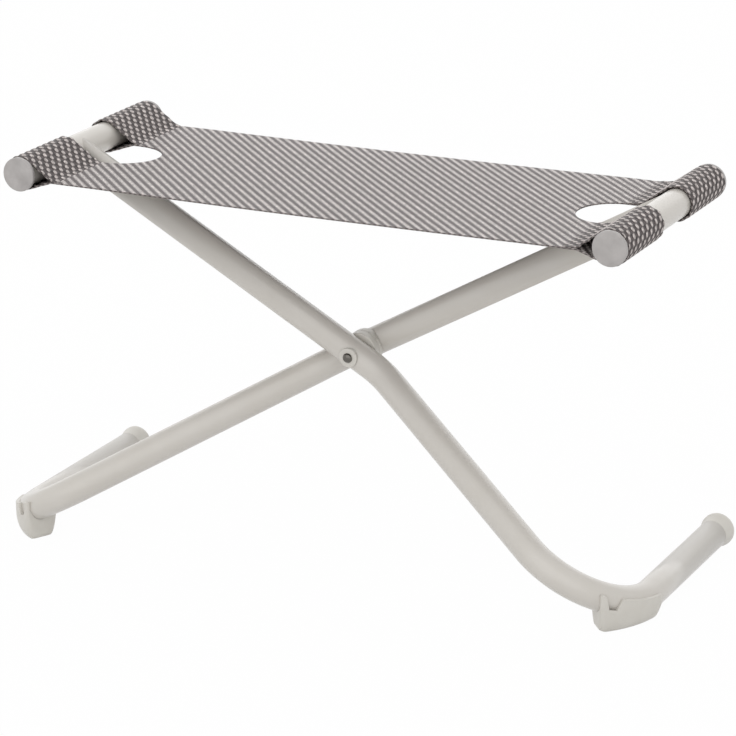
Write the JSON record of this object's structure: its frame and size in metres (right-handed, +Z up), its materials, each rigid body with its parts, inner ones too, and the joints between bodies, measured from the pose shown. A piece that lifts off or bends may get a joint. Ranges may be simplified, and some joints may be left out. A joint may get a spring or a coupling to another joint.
{
  "type": "folding outdoor footstool",
  "caption": "Low folding footstool: two bent steel-tube frames crossed on a rivet, with a woven sling stretched between their top bars.",
  "frame": {"origin": "on the floor, at the middle of the whole footprint", "axes": "+Z up, +X from one top bar to the other, +Y from front to back along the bars"},
  "size_m": [0.6716, 0.2802, 0.3806],
  "materials": {
    "painted_tube": "warm white powder coat, satin",
    "bar_cap": "moulded grey polypropylene, satin",
    "pale_plastic": "moulded pale grey nylon, satin",
    "rivet_steel": "bright stainless rivet",
    "zinc_screw": "zinc-plated steel",
    "sling_cloth": "PVC-coated polyester weave in taupe and off-white yarns"
  },
  "bodies": {
    "front_frame": {"left_bar": "painted_tube", "left_bar_front_cap": "bar_cap", "left_bar_rear_cap": "bar_cap", "front_leg": "painted_tube", "left_bar_weld": "painted_tube", "front_hinge_saddle": "pale_plastic", "front_hinge_washer": "pale_plastic", "front_corner_shoe": "pale_plastic", "front_shoe_screw": "zinc_screw", "front_rail_foot": "pale_plastic", "left_sling_loop_front": "sling_cloth", "left_sling_loop_rear": "sling_cloth", "hinge_rivet": "rivet_steel", "sling_panel": "sling_cloth"},
    "rear_frame": {"right_bar": "painted_tube", "right_bar_front_cap": "bar_cap", "right_bar_rear_cap": "bar_cap", "rear_leg": "painted_tube", "right_bar_weld": "painted_tube", "rear_hinge_saddle": "pale_plastic", "rear_hinge_washer": "pale_plastic", "rear_corner_shoe": "pale_plastic", "rear_shoe_screw": "zinc_screw", "rear_rail_foot": "pale_plastic", "right_sling_loop_front": "sling_cloth", "right_sling_loop_rear": "sling_cloth"}
  },
  "joints": [
    {"name": "fold", "type": "hinge", "parent": "front_frame", "child": "rear_frame", "pos_m": [0, 0.00669, 0.19517], "axis": [0, -1, 0], "range_deg": [0, 106], "deforming": ["sling_panel"]}
  ]
}
